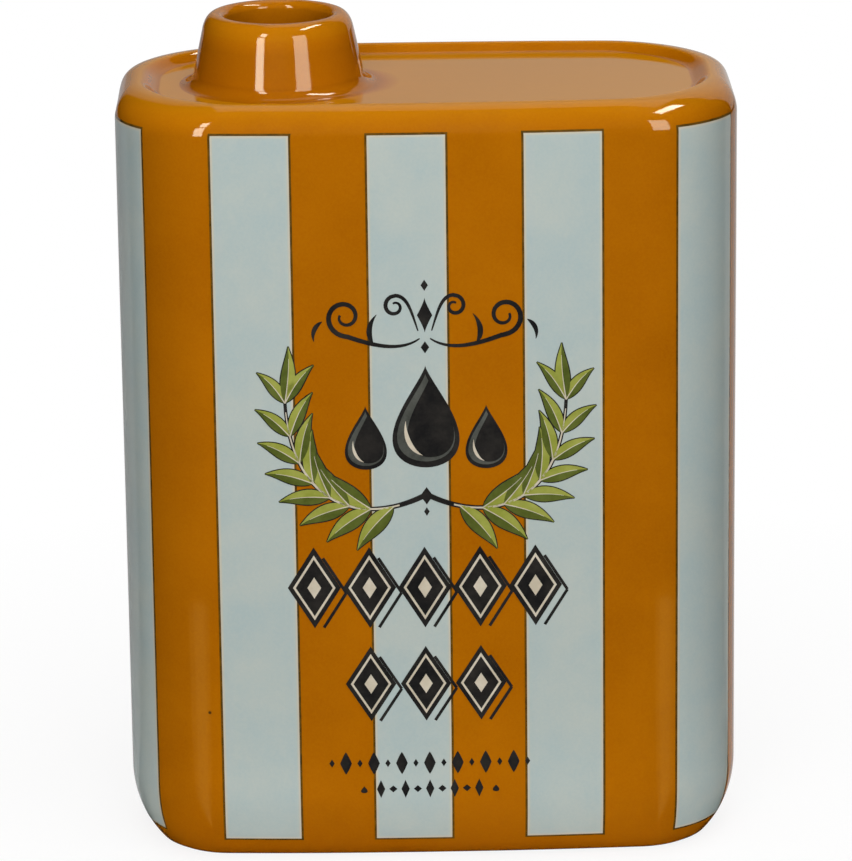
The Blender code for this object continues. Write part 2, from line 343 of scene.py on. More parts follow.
# %% The spout's sizes
SPOUT_AXIS = Vector((-26.0 * MM, 0.0))
LIP_HEIGHT, LIP_CREST_RADIUS, LIP_CREST_FLAT = 150.5 * MM, 11.0 * MM, 0.4 * MM
LIP_RADIUS, SPOUT_ROOT_RADIUS, COVE_RADIUS = 13.25 * MM, 15.1 * MM, 2.2 * MM
BORE_RADIUS, BORE_ROOT_RADIUS = 9.4 * MM, 10.6 * MM
GLAZE_COVE = 2.5 * MM  # glaze gathers in the cove and rounds it out to this radius
LIP_DROP = 4.2 * MM  # the lip's outside runs into the neck this far below its crest
PANEL_STEPS, NECK_STEPS = 14, 20
TONE_RISE_START, TONE_RISE = 0.7, 0.20  # from this share of the neck up the tone rises by this much: thinner glaze and painted light towards the lip


def arc(centre, radii, start, end, steps):
    points = []
    for step in range(steps + 1):
        angle = math.radians(start + (end - start) * step / steps)
        across = centre[0] + radii[0] * math.cos(angle)
        points.append((across, centre[1] + radii[1] * math.sin(angle)))
    return points


def soft_step(start, end, steps):
    points = []
    for step in range(1, steps + 1):
        share = step / steps
        rise = (1 - math.cos(math.pi * share)) / 2
        across = start[0] + (end[0] - start[0]) * share
        points.append((across, start[1] + (end[1] - start[1]) * rise))
    return points


def straight(start, end, steps):
    """Points on the way from start to end, without the start."""
    return [tuple(a + (b - a) * step / steps for a, b in zip(start, end))
            for step in range(1, steps + 1)]


print("The bore is", round(2 * BORE_RADIUS / MM, 1), "mm wide under the lip")

# %% Stations round the outline
END_SLOPE = 3.2 * MM  # the rim's inner step is this wide at the bottle's two ends
LONG_STEPS, CORNER_STEPS, END_STEPS = 32, 32, 9  # points along each stretch of a quarter


def endness(path):
    """0 along the bottle's long sides, 1 across its ends, and in between round the corners."""
    along = abs(path % (OUTLINE / 2) - OUTLINE / 4)
    turn = min(max((OUTLINE / 4 - along - LONG_RUN) / CORNER_ARC, 0), 1)
    return turn * turn * (3 - 2 * turn)


QUARTER = [(LONG_RUN, LONG_STEPS), (CORNER_ARC, CORNER_STEPS), (END_RUN, END_STEPS)]
STATIONS, start = [], 0.0
for length, steps in 2 * (QUARTER + QUARTER[::-1]):
    STATIONS += [start + length * step / steps for step in range(steps)]
    start += length
DIRECTIONS = []
for path in STATIONS:
    inset = PANEL_INSET + (END_SLOPE - RIM_SLOPE) * endness(path)
    offset = Vector(outline_point(path, inset, CREST_ROUNDING)) - SPOUT_AXIS
    DIRECTIONS.append(offset.normalized())
print("Each ring has", len(STATIONS), "points")


# %% Rings of the outside, from the foot up to the top panel
# Beside thin glaze on the crests, these tones paint light on the top panel and the lip, and shade on
# the heel, the rim's inner step, the cove and the neck.
EVEN, PANEL_TONE, LIP_TONE, MOUTH_TONE = 0.5, 0.96, 0.62, 0.55  # glaze tone from wall to mouth, with painted light and shade
HEEL_TONE, STEP_TONE, COVE_FOOT_TONE, COVE_TONE, NECK_TONE = 0.38, 0.45, 0.42, 0.30, 0.37
TONE_BORDER = 0.4 * MM  # between the foot of the rim's inner step and the lighter, painted-light tone of the top panel


def shell_ring(inset, height, thin=EVEN, at_ends=0.0):
    """One ring of the body and its glaze tone, with painted light and shade; at_ends is an extra
    inset at the two ends.
    """
    points = []
    for path in STATIONS:
        moved = inset + BODY_SUNK + wave(path, height) + at_ends * endness(path)
        points.append((*outline_point(path, moved, corner_growth(inset, height)), height))
    return points, thin


inner = FOOT_INSET + FOOT_EDGE + FOOT_WIDTH
start = (inner + FOOT_SLOPE, UNDERSIDE_DEPTH)
outside = [shell_ring(*point) for point in [start] + soft_step(start, (inner, 0.0), 8)]
first_bare = len(outside) - 1
outside.append(shell_ring(FOOT_INSET + FOOT_EDGE, 0.0))
last_bare = len(outside) - 1
heel_start = math.degrees(math.asin((HEEL_HEIGHT - FOOT_EDGE) / HEEL_RISE))
heel = arc((HEEL_REACH, HEEL_HEIGHT), (HEEL_REACH, HEEL_RISE), 180 + heel_start, 180, 22)
for step, point in enumerate(heel):
    outside.append(shell_ring(*point, thin=HEEL_TONE + (EVEN - HEEL_TONE) * step / (len(heel) - 1)))
edge_start = (0.0, RIM_HEIGHT - EDGE_DROP)
outside += [shell_ring(*point) for point in straight((0.0, HEEL_HEIGHT), edge_start, 34)]
edge = arc((EDGE_INSET, edge_start[1]), (EDGE_INSET, EDGE_DROP), 180, 90, 24)[1:]
for step, point in enumerate(edge, start=1):
    outside.append(shell_ring(*point, thin=EVEN + (PANEL_TONE - EVEN) * (step / len(edge)) ** 2))
slope = soft_step(edge[-1], (PANEL_INSET, PANEL_HEIGHT), 18)
for step, point in enumerate(slope, start=1):
    share = step / len(slope)
    thin = PANEL_TONE - (PANEL_TONE - STEP_TONE) * math.sin(math.pi * min(share, 0.5))
    outside.append(shell_ring(*point, thin=thin, at_ends=share * (END_SLOPE - RIM_SLOPE)))
outside.append(shell_ring(PANEL_INSET + TONE_BORDER, PANEL_HEIGHT, PANEL_TONE, END_SLOPE - RIM_SLOPE))
print("The outside has", len(outside), "rings up to the top panel")

# %% [markdown]
# ## From a rectangle to a circle
#
# The one hard place is the top panel, where a rounded rectangle turns into a circle. Each point of
# the panel's edge is matched with the point of the circle that lies in the same direction from the
# spout's axis, and the rings between them slide from one to the other.

# %% Rings of the panel, the spout and the bore
def round_ring(radius, height, thin=EVEN):
    """One circle about the spout's axis, its points in the panel's directions."""
    return [(*(SPOUT_AXIS + direction * radius), height) for direction in DIRECTIONS], thin


def ring_between(first, second, share, thin=EVEN):
    return [tuple(Vector(a).lerp(Vector(b), share)) for a, b in zip(first[0], second[0])], thin


crest = LIP_CREST_RADIUS + LIP_CREST_FLAT / 2
lip_width = LIP_RADIUS - crest
neck_height = LIP_HEIGHT - lip_width - PANEL_HEIGHT - COVE_RADIUS
lean = math.atan2(SPOUT_ROOT_RADIUS - LIP_RADIUS, neck_height)
fall = LIP_DROP * math.tan(lean)
lip_reach = lip_width * (1 - math.tan(lean)) + fall
lip_side = math.sqrt(lip_reach ** 2 - fall ** 2)
lip_start = math.degrees(math.atan2(fall, lip_side))
lip = arc((crest, LIP_HEIGHT - LIP_DROP), (lip_side, LIP_DROP), lip_start, 90, 22)
above = GLAZE_COVE * (1 - math.sin(lean)) - COVE_RADIUS
across = SPOUT_ROOT_RADIUS - above * math.tan(lean) + GLAZE_COVE * math.cos(lean)
cove = arc((across, PANEL_HEIGHT + GLAZE_COVE), (GLAZE_COVE, GLAZE_COVE),
           270, 180 + math.degrees(lean), 16)
mouth_crest = LIP_CREST_RADIUS - LIP_CREST_FLAT / 2
mouth_width = mouth_crest - BORE_RADIUS
mouth = arc((mouth_crest, LIP_HEIGHT - mouth_width), (mouth_width, mouth_width), 90, 180, 14)
foot_of_cove = round_ring(*cove[0], thin=COVE_FOOT_TONE)
spout = [ring_between(outside[-1], foot_of_cove, step / PANEL_STEPS, PANEL_TONE - 0.004 * step)
         for step in range(1, PANEL_STEPS)]
spout += [round_ring(*point, thin=COVE_TONE) for point in cove]
for step, point in enumerate(straight(cove[-1], lip[0], NECK_STEPS), start=1):
    tone_rise = max(step / NECK_STEPS - TONE_RISE_START, 0) / (1 - TONE_RISE_START)
    spout.append(round_ring(*point, thin=NECK_TONE + TONE_RISE * tone_rise))
spout += [round_ring(*point, thin=LIP_TONE) for point in lip[1:]]
spout += [round_ring(*point, thin=MOUTH_TONE) for point in mouth]
flare = CEILING / 2
root = (BORE_ROOT_RADIUS, HOLLOW_TOP + flare)
spout += [round_ring(*point) for point in straight(mouth[-1], root, 10)]
spout.append(round_ring(BORE_ROOT_RADIUS + flare, HOLLOW_TOP))
print("The panel, spout and bore have", len(spout), "rings")

# %% [markdown]
# ## The hollow, and one skin
#
# The bottle is hollow, and a look down its bore shows it. It could be left solid and painted dark
# there, but the rings simply go on, down the inside of the wall and over its floor. Then faces join
# them all into one skin, and the piece is tied to the part that it dresses.

# %% Rings of the hollow, then one skin over all of them
def hollow_rings(bore_end):
    rounding = (INSIDE_ROUNDING, INSIDE_ROUNDING)
    low_side = WALL + wall_inset(HOLLOW_FLOOR + INSIDE_ROUNDING)
    high = arc((WALL + INSIDE_ROUNDING, HOLLOW_TOP - INSIDE_ROUNDING), rounding, 90, 180, 6)
    low = arc((low_side + INSIDE_ROUNDING, HOLLOW_FLOOR + INSIDE_ROUNDING), rounding, 180, 270, 6)
    edge = shell_ring(*high[0])
    rings = [ring_between(bore_end, edge, step / 5) for step in range(1, 5)]
    rings += [shell_ring(*point) for point in high]
    rings += [shell_ring(*point) for point in straight(high[-1], (WALL, HEEL_HEIGHT + WALL), 8)]
    return rings + [shell_ring(*point) for point in low]


def join_rings(bm, lower, upper):
    return [bm.faces.new((lower[index - 1], lower[index], upper[index], upper[index - 1]))
            for index in range(len(lower))]


def close_ring(bm, ring, height):
    """Fills a ring with a few smaller ones and a middle point."""
    inner = ring
    for share in (0.75, 0.5, 0.25):
        smaller = [bm.verts.new((v.co.x * share, v.co.y * share, height)) for v in ring]
        join_rings(bm, inner, smaller)
        inner = smaller
    middle = bm.verts.new((0, 0, height))
    for index in range(len(ring)):
        bm.faces.new((inner[index - 1], inner[index], middle))


def build_body(rings, bare):
    bm = bmesh.new()
    layer = bm.verts.layers.float.new("glaze_and_painted_light")
    rows = []
    for points, thin in rings:
        row = [bm.verts.new(point) for point in points]
        for vertex in row:
            vertex[layer] = thin
        rows.append(row)
    for number, (lower, upper) in enumerate(zip(rows, rows[1:])):
        for face in join_rings(bm, lower, upper):
            face.material_index = 1 if bare[0] <= number < bare[1] else 0
    close_ring(bm, rows[0], UNDERSIDE_DEPTH)
    close_ring(bm, rows[-1], HOLLOW_FLOOR)
    for vertex in bm.verts:
        if vertex[layer] == 0.0:  # one of those that close_ring made
            vertex[layer] = EVEN
    return bm


all_rings = outside + spout + hollow_rings(spout[-1])
print("From the underside to the inside's floor there are", len(all_rings), "rings")


# %% Put the body in the scene
ROOT = "root"
SHARP_EDGE = math.radians(40)


def place_mesh(name, bm):
    mesh = bpy.data.meshes.new(name)
    bm.to_mesh(mesh)
    bm.free()
    return new_object(name, mesh)


def add_piece(name, bm, materials):
    """Turns a bmesh into a smooth-shaded piece that rides on the bottle."""
    bmesh.ops.recalc_face_normals(bm, faces=bm.faces[:])
    piece = place_mesh(name, bm)
    for material in materials:
        piece.data.materials.append(material)
    piece.data.shade_smooth()
    piece.data.set_sharp_from_angle(angle=SHARP_EDGE)
    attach(piece, ROOT)
    return piece


glazed_body = add_piece("glazed_body", build_body(all_rings, (first_bare, last_bare)),
                        [ochre_glaze, bare_clay])
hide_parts("vessel_body")
print("The body has", len(glazed_body.data.polygons), "faces")

# %% [markdown]
# ## The pale stripes
#
# The stripes are a second colour, printed on a film, floated onto the glazed wall and fired until
# it sinks in. A texture could colour them, but as thin bodies they keep a true edge at any
# distance. Each will carry a flat map in metres, so the finish knows how far every point is from
# the stripe's own edges, where the colour is thinner and turns creamy.

# %% Pale glaze
BAND_COUNT = 11
FIRST_BAND_EDGE = -37.7 * MM
BAND_FOOT, BAND_HEAD = 4.4 * MM, 134.6 * MM
REPEAT = OUTLINE / BAND_COUNT
BAND_WIDTH = REPEAT / 2
FRINGE = 0.50 * MM  # width of the creamy edge
PALE_BLUE = (0.418, 0.505, 0.500)
PALE_GREY = (0.470, 0.530, 0.500)
PALE_CREAM = (0.66, 0.64, 0.52)
FRINGE_CREAM = (0.64, 0.55, 0.39)


def edge_distance(tree, flat, width, height):
    """How far a point of the flat map is from the nearest edge of its sheet."""
    split = add_node(tree, "SeparateXYZ", {"Vector": flat})
    nearest = []
    for axis, size in (("X", width), ("Y", height)):
        value = split.outputs[axis]
        nearest.append(maths(tree, "MINIMUM", value, maths(tree, "SUBTRACT", size, value)))
    return maths(tree, "MINIMUM", *nearest)


pale_glaze, tree, shader = start_finish("pale_glaze", ior=GLAZE_IOR)
coordinates = add_node(tree, "TexCoord", {})
where = coordinates.outputs["Object"]
clouds = spread(tree, noise(tree, where, 90, 3, 0.6), 0.35, 0.65)
colour = mix_colours(tree, clouds, PALE_BLUE, PALE_GREY)
grain = spread(tree, noise(tree, where, 2000, 2), 0.35, 0.65, 0.0, 0.10)
colour = mix_colours(tree, grain, colour, PALE_CREAM)
distance = edge_distance(tree, coordinates.outputs["UV"], BAND_WIDTH, BAND_HEAD - BAND_FOOT)
fringe = spread(tree, distance, FRINGE, FRINGE * 0.3, 0.0, 0.75)
colour = mix_colours(tree, fringe, colour, FRINGE_CREAM)
tree.links.new(colour, shader.inputs["Base Color"])
glaze_skin(tree, shader, where)
print("A stripe is", round(BAND_WIDTH / MM, 2), "mm wide")

# %% [markdown]
# ## A film bent onto the wall
#
# Each stripe is a closed sheet: two grids of points, one just under the other, joined round their
# border. It could be cut out of the body's mesh, but its edges would then follow the body's faces.
# Where the heel draws in, a real film slips a little round the corners, and so does this one.

# %% A closed sheet bent onto the wall
FILM_SLIP = 0.45  # greatest slip round a corner, as a share of the heel's inset
SHEET_THICKNESS = 0.12 * MM


def steps_between(low, high, longest):
    count = max(1, math.ceil((high - low) / longest - 1e-9))
    return [low + (high - low) * step / count for step in range(count)]


def sheet_heights(foot, head):
    """Rows of a sheet: close together on the heel and the rounded edge, wider on the wall."""
    edge_start = RIM_HEIGHT - EDGE_DROP
    rows = steps_between(foot, HEEL_HEIGHT, 0.8 * MM)
    rows += steps_between(HEEL_HEIGHT, edge_start, 3.4 * MM)
    return rows + steps_between(edge_start, head, 0.5 * MM) + [head]


def film_slip(path, height):
    """Where the heel draws in, the film slips round the corners, away from the long sides."""
    along = (path + OUTLINE / 4) % (OUTLINE / 2) - OUTLINE / 4
    turn = min(max((abs(along) - LONG_RUN) / CORNER_ARC, 0), 1)
    slip = FILM_SLIP * wall_inset(height) * math.sin(math.pi * turn)
    return path + math.copysign(slip, along)


def close_sheet(bm, front, back):
    """Faces over two grids of points and round their border."""
    last_row, last_column = len(front) - 1, len(front[0]) - 1
    faces = []
    for row in range(last_row):
        for column in range(last_column):
            corners = ((row, column), (row, column + 1), (row + 1, column + 1), (row + 1, column))
            faces += [bm.faces.new([grid[r][c] for r, c in corners]) for grid in (front, back)]
    border = [((row, column), (row, column + 1))
              for row in (0, last_row) for column in range(last_column)]
    border += [((row, column), (row + 1, column))
               for column in (0, last_column) for row in range(last_row)]
    for (row, column), (next_row, next_column) in border:
        faces.append(bm.faces.new((front[row][column], front[next_row][next_column],
                                   back[next_row][next_column], back[row][column])))
    return faces


def bend_sheet(bm, start, length, foot, head, sunk):
    heights = sheet_heights(foot, head)
    paths = steps_between(start, start + length, 0.6 * MM) + [start + length]
    flat = bm.loops.layers.uv.verify()
    grids = []
    for depth in (sunk, sunk + SHEET_THICKNESS):
        grids.append([[bm.verts.new(wall_point(film_slip(path, height), height, depth))
                       for path in paths] for height in heights])
    place = {}
    for grid in grids:
        for row, height in zip(grid, heights):
            for vertex, path in zip(row, paths):
                place[vertex] = (path - start, height - foot)
    for face in close_sheet(bm, *grids):
        for loop in face.loops:
            loop[flat].uv = place[loop.vert]


BAND_NAMES = (
    "stripe_front_left", "stripe_front_middle", "stripe_front_right",
    "stripe_front_right_corner", "stripe_right_end", "stripe_back_right_corner",
    "stripe_back_right", "stripe_back_middle", "stripe_back_left",
    "stripe_back_left_corner", "stripe_front_left_corner",
)
for number, band_name in enumerate(BAND_NAMES):
    bm = bmesh.new()
    bend_sheet(bm, FIRST_BAND_EDGE + number * REPEAT, BAND_WIDTH, BAND_FOOT, BAND_HEAD, STRIPE_SUNK)
    stripe = add_piece("pale_" + band_name, bm, [pale_glaze])
    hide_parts(band_name)
print("Bent", len(BAND_NAMES), "stripes onto the wall")

# %% [markdown]
# ## The dark keylines
#
# Where two fired colours meet, a printer lays a thin dark line over the seam, because no film ever
# lands quite true, and the ochre below turns it brown. It could be four strips round each stripe.
# A slightly larger sheet just under the stripe is simpler: only its margin shows, the same on all
# four sides.

# %% Keylines
KEYLINE_WIDTH = 0.40 * MM
LINE_DARK = (0.070, 0.039, 0.006)
LINE_BROWN = (0.190, 0.088, 0.010)


def make_ink(name, first, second, scale=260, detail=4, roughness=0.65, high=0.68):
    """Two tones in clouds; high is where the noise reaches the second one."""
    material, tree, shader = start_finish(name, ior=GLAZE_IOR)
    where = place_in_object(tree)
    share = spread(tree, noise(tree, where, scale, detail, roughness), 0.35, high)
    tree.links.new(mix_colours(tree, share, first, second), shader.inputs["Base Color"])
    glaze_skin(tree, shader, where)
    return material


keyline_ink = make_ink("keyline_ink", LINE_DARK, LINE_BROWN, 500, 3, 0.7, 0.75)
bm = bmesh.new()
for number in range(BAND_COUNT):
    bend_sheet(bm, FIRST_BAND_EDGE + number * REPEAT - KEYLINE_WIDTH,
               BAND_WIDTH + 2 * KEYLINE_WIDTH, BAND_FOOT - KEYLINE_WIDTH,
               BAND_HEAD + KEYLINE_WIDTH, KEYLINE_SUNK)
keylines = add_piece("stripe_keylines", bm, [keyline_ink])
print("The keylines have", len(keylines.data.polygons), "faces")

# %% [markdown]
# ## A printed front, one brush stroke at a time
#
# The front carries a plain kitchen pattern: a scroll, three drops of oil between two curved sprigs,
# and rows of lozenges. An image could be laid on, but all of it can be drawn with one tool, a brush
# stroke: a middle line with a width on either side. A stem is a long thin stroke, a leaf a short
# one that swells and closes, and a lozenge an upright one whose width grows and shrinks evenly.
# Each stroke is a very thin closed body on the wall, so colours lie in layers as in real printing.

# %% The brush
PRINT_MIDDLE = -0.9 * MM
INK_THICKNESS = 0.10 * MM
LEAST_WIDTH = 0.015  # mm; a stroke closes to this at a pointed end


def brush(bm, line, left, right=None, layer=0, columns=1):
    """A stroke on the wall. line holds (across, height) in mm, left and right its half widths."""
    right = right or left
    sunk = PRINT_SUNK - layer * PRINT_STEP
    top, bottom = [], []
    for index, (x, z) in enumerate(line):
        before, after = line[max(index - 1, 0)], line[min(index + 1, len(line) - 1)]
        along = Vector((after[0] - before[0], after[1] - before[1])).normalized()
        across = Vector((-along.y, along.x))
        reach = (max(left[index], LEAST_WIDTH), -max(right[index], LEAST_WIDTH))
        rows = ([], [])
        for column in range(columns + 1):
            share = reach[0] + (reach[1] - reach[0]) * column / columns
            path = PRINT_MIDDLE + (x + across.x * share) * MM
            height = (z + across.y * share) * MM
            for row, depth in zip(rows, (sunk, sunk + INK_THICKNESS)):
                row.append(bm.verts.new(wall_point(path, height, depth)))
        top.append(rows[0])
        bottom.append(rows[1])
    close_sheet(bm, top, bottom)


def bezier(points, steps):
    """A smooth middle line through a cubic curve's four control points."""
    line = []
    for step in range(steps + 1):
        t = step / steps
        weights = ((1 - t) ** 3, 3 * t * (1 - t) ** 2, 3 * t * t * (1 - t), t ** 3)
        line.append(tuple(sum(w * p[axis] for w, p in zip(weights, points)) for axis in (0, 1)))
    return line


def swell(count, widest, start=0.0, end=0.0, peak=1.0):
    """Half widths that grow from start to widest and shrink to end."""
    widths = []
    for index in range(count):
        t = index / (count - 1)
        base = start + (end - start) * t
        widths.append(base + (widest - base) * math.sin(math.pi * t ** peak))
    return widths


def pen(sheet, line, side, *shape, layer=0):
    """A stroke that swells evenly; side is -1 to mirror it."""
    brush(sheet, [(side * x, z) for x, z in line], swell(len(line), *shape), layer=layer)


print("A stroke ends", LEAST_WIDTH, "mm from its middle line")

# %% [markdown]
# ## The inks
#
# Ceramic inks are ground glass too, so they share the glaze's shine. Near-black carries the pattern,
# two greens make each leaf light on one side and dark on the other, a cream picks out the inner
# lines, and a grey gives the drops their sheen.

# %% Inks
INKS = {
    "ink_black": ((0.012, 0.012, 0.012), (0.030, 0.027, 0.024)),
    "ink_leaf_light": ((0.270, 0.300, 0.045), (0.370, 0.385, 0.085)),
    "ink_leaf_dark": ((0.075, 0.095, 0.016), (0.125, 0.150, 0.030)),
    "ink_cream": ((0.560, 0.490, 0.370), (0.680, 0.620, 0.500)),
    "ink_grey": ((0.055, 0.058, 0.050), (0.110, 0.115, 0.100)),
}
inks = {name: make_ink(name, *colours) for name, colours in INKS.items()}
sheets = {name: bmesh.new() for name in INKS}
black, leaf_light, leaf_dark, cream, grey = sheets.values()
print("Mixed", len(inks), "inks")

# %% [markdown]
# ## The scroll
#
# The scroll at the top is penwork: a curve that ends in a spiral, thin at both ends and fuller in
# the middle, as a flexible nib draws it. The right half is drawn once and mirrored.

# %% Draw the scroll
def spiral(centre, first, last, start, end, steps):
    line = []
    for step in range(1, steps + 1):
        t = step / steps
        angle = math.radians(start + (end - start) * t)
        radius = first + (last - first) * t ** 0.8
        line.append((centre[0] + radius * math.cos(angle), centre[1] + radius * math.sin(angle)))
    return line


def lozenge(sheet, x, z, width, height, layer=0, waist=1.0):
    """An upright stroke that grows and shrinks; a waist above 1 draws its sides in."""
    steps = 14
    shares = [step / steps for step in range(steps + 1)]
    line = [(x, z + height * (share - 0.5)) for share in shares]
    widths = [width / 2 * (1 - abs(2 * share - 1)) ** waist for share in shares]
    brush(sheet, line, widths, layer=layer, columns=4 if width > 3 else 1)


for side in (1, -1):
    line = bezier(((0.9, 98.2), (4.5, 95.6), (9.5, 97.2), (13.4, 98.6)), 14)
    line += spiral((13.9, 102.2), 3.6, 0.9, -98, 380, 40)
    pen(black, line, side, 0.44, 0.12, 0.22, 0.7)
    line = bezier(((1.2, 99.6), (2.4, 103.5), (3.0, 105.8), (5.0, 106.0)), 12)
    line += spiral((5.2, 104.0), 2.0, 0.6, 84, -300, 26)
    pen(black, line, side, 0.36, 0.12, 0.18, 0.8)
    line = bezier(((9.0, 97.3), (10.2, 99.0), (9.8, 101.0), (8.4, 102.6)), 10)
    pen(black, line, side, 0.50, 0.05, 0.05, 0.8)
    line = bezier(((17.9, 101.4), (19.3, 100.6), (19.8, 99.2), (19.4, 97.8)), 10)
    pen(black, line, side, 0.42, 0.05, 0.05, 0.8)
lozenge(black, 0, 102.4, 2.7, 6.2, waist=1.25)
lozenge(black, 0, 96.6, 1.5, 2.2)
lozenge(black, 0, 107.8, 1.3, 2.0)
print("The scroll has", len(black.faces), "faces")

# %% [markdown]
# ## The drops
#
# In the middle hang three near-black drops of oil, each with a grey sheen on one side. They could
# be cut from circles, but as strokes that swell they end in a true point.

# %% Draw the drops
DROPS = ((0.0, 84.0, 11.8, 18.6), (-10.6, 80.2, 7.4, 11.6), (10.6, 80.2, 7.4, 11.6))


def drop(sheet, x, z, width, height, layer=0):
    """A hanging drop, from its round bottom up to its point."""
    steps = 26
    angles = [math.pi * step / steps for step in range(steps + 1)]
    line = [(x, z - height / 2 * math.cos(angle)) for angle in angles]
    shape = [math.sin(angle) * max(math.cos(angle / 2), 0) ** 1.6 for angle in angles]
    widths = [width / 2 * value / max(shape) for value in shape]
    brush(sheet, line, widths, layer=layer, columns=6 if width > 6 else 2)


for x, z, width, height in DROPS:
    drop(black, x, z, width, height)
    drop(grey, x, z - 0.01 * height, width * 0.86, height * 0.86, 1)
    drop(black, x + 0.07 * width, z, width * 0.70, height * 0.80, 2)
    glint = [(x + across * width, z + up * height)
             for across, up in ((-0.30, -0.04), (-0.33, -0.20), (-0.22, -0.34), (-0.05, -0.38))]
    pen(cream, bezier(glint, 14), 1, 0.035 * width, layer=3)
print(len(DROPS), "drops drawn")

# %% [markdown]
# ## The sprigs
#
# A sprig of herb curves up round the drops from either side. Each leaf is four strokes: a dark
# outline, a light blade, a dark half and a fine cream rib. Layered like this they read as printed.

# %% Draw the sprigs
def leaf(base, angle, length, width, bend, lit_left):
    """One leaf: where it starts, its direction in degrees, its size, bend and lit side."""
    direction = Vector((math.cos(math.radians(angle)), math.sin(math.radians(angle))))
    across = Vector((-direction.y, direction.x))
    start = Vector(base)
    points = [start, start + direction * length * 0.33 + across * bend * 0.6,
              start + direction * length * 0.66 + across * bend, start + direction * length]
    line = bezier([tuple(point) for point in points], 14)
    whole = swell(len(line), width / 2, peak=0.78)
    blade = [w - 0.05 for w in whole]
    none = [0.0] * len(line)
    rib = [0.10 - 0.006 * step for step in range(len(line) - 3)]
    brush(black, line, [w + 0.15 for w in whole], columns=2)
    brush(leaf_light, line, blade, layer=1, columns=2)
    brush(leaf_dark, line, *((none, blade) if lit_left else (blade, none)), layer=2)
    brush(cream, line[:-3], rib, layer=3)


for side in (1, -1):
    stem = bezier(((0.7, 69.4), (13.0, 63.4), (26.0, 69.0), (24.6, 92.0)), 36)
    pen(black, stem, side, 0.42, 0.5, 0.24)
    pen(cream, stem[4:-4], side, 0.20, 0.14, 0.08, layer=1)
    for number, place in enumerate(range(5, 34, 4)):
        x, z = stem[place]
        ahead = stem[place + 1]
        heading = math.degrees(math.atan2(ahead[1] - z, ahead[0] - x))
        for turn, lit in ((38, True), (-40, False)):
            if lit and place < 9:
                continue
            length = 10.4 - 0.42 * number + (1.2 if lit else 0)
            width = 3.3 - 0.14 * number
            angle = heading + turn
            if side < 0:
                angle = 180 - angle
            bend = (-0.8 if lit else 0.8) * side
            leaf((side * x, z), angle, length, width, bend, lit != (side > 0))
    x, z = stem[-4]
    leaf((side * x, z), 94 if side > 0 else 86, 10.4, 2.6, 0.5 * side, side > 0)
lozenge(black, 0, 69.5, 2.3, 3.2)
lozenge(black, 0, 66.6, 1.0, 1.6)
print("Two sprigs drawn, light ink faces:", len(leaf_light.faces))

# %% [markdown]
# ## Rows of lozenges
#
# Below stand two rows of bold lozenges, five and then three, with a cream line inside and a dark
# shadow to the lower right that lifts them off the stripes. A border of small marks closes the
# pattern.

# %% Draw the lozenges
SHADOW_STEP = 0.95  # mm; the shadow lies this far right and down
SHADOW_LINE = 0.27  # mm; half the width of the shadow's line


def bold_lozenge(x, z, width, height):
    middle = Vector((x + SHADOW_STEP, z - SHADOW_STEP))
    side = middle + Vector((width / 2, 0))
    for reach in (-height / 2, height / 2):
        tip = middle + Vector((0, reach))
        line = [tuple(tip.lerp(side, 0.14 + 0.86 * step / 8)) for step in range(9)]
        brush(black, line, [SHADOW_LINE] * 9)
    lozenge(black, x, z, width, height)
    lozenge(cream, x, z, width * 0.80, height * 0.80, 1)
    lozenge(black, x, z, width * 0.70, height * 0.70, 2)
    lozenge(cream, x, z, width * 0.26, height * 0.26, 3)


for x in (-20.1, -10.3, -0.5, 9.3, 19.1):
    bold_lozenge(x, 52.6, 9.4, 15.0)
for x in (-10.3, -0.5, 9.3):
    bold_lozenge(x, 34.6, 9.0, 14.0)
for place in range(-7, 8):
    if place % 2:
        lozenge(black, place * 2.5, 19.6, 0.95, 1.5)
    else:
        lozenge(black, place * 2.5, 19.6, 2.1, 4.2, waist=0.8)
for place in range(-4, 5):
    lozenge(black, place * 2.2, 14.7, 1.5, 1.3 if place % 2 else 3.4)
for side in (-1, 1):
    drop(black, side * 11.8, 14.6, 1.2, 1.3)
for name, sheet in sheets.items():
    piece = add_piece("print_" + name, sheet, [inks[name]])
    print(piece.name, "has", len(piece.data.polygons), "faces")

# %% [markdown]
# ## Floor and room
#
# The bottle stands on a pale floor in a white room. A white floor under lamps would never be evenly
# white, so both are plain white to the camera and to mirror rays, without adding light to the
# bottle. Close to the foot the floor shows some of its own lit surface, which keeps a soft shadow.
# To the light that bounces, it is pale beside the foot and darker further out, which lights the
# heel without lifting the wall above it.

# %% Floor and room
FLOOR_HALF = 4.0
FLOOR_NEAR, FLOOR_FAR = 0.95, 0.30  # brightness of the floor beside the foot and further out
BOUNCE_NEAR, BOUNCE_FAR = 0.040, 0.075
SHADOW_FLOOR = (0.95, 0.95, 0.94)
SHADOW_SHARE = 0.14  # how much of the floor's look near the foot is lit surface
SHADOW_NEAR, SHADOW_FAR = 0.06, 0.20
FLOOR_GAP = 0.01 * MM  # between the floor, the sheets laid on it and the foot


def seen_directly(tree):
    """1 for camera, mirror and see-through rays, 0 for the rays that carry soft light."""
    path = add_node(tree, "LightPath", {})
    mirror = maths(tree, "MAXIMUM", path.outputs["Is Camera Ray"], path.outputs["Is Glossy Ray"])
    return maths(tree, "MAXIMUM", mirror, path.outputs["Is Transmission Ray"])


def mix_shaders(tree, share, first, second):
    return add_node(tree, "MixShader", {0: share, 1: first.outputs[0], 2: second.outputs[0]})


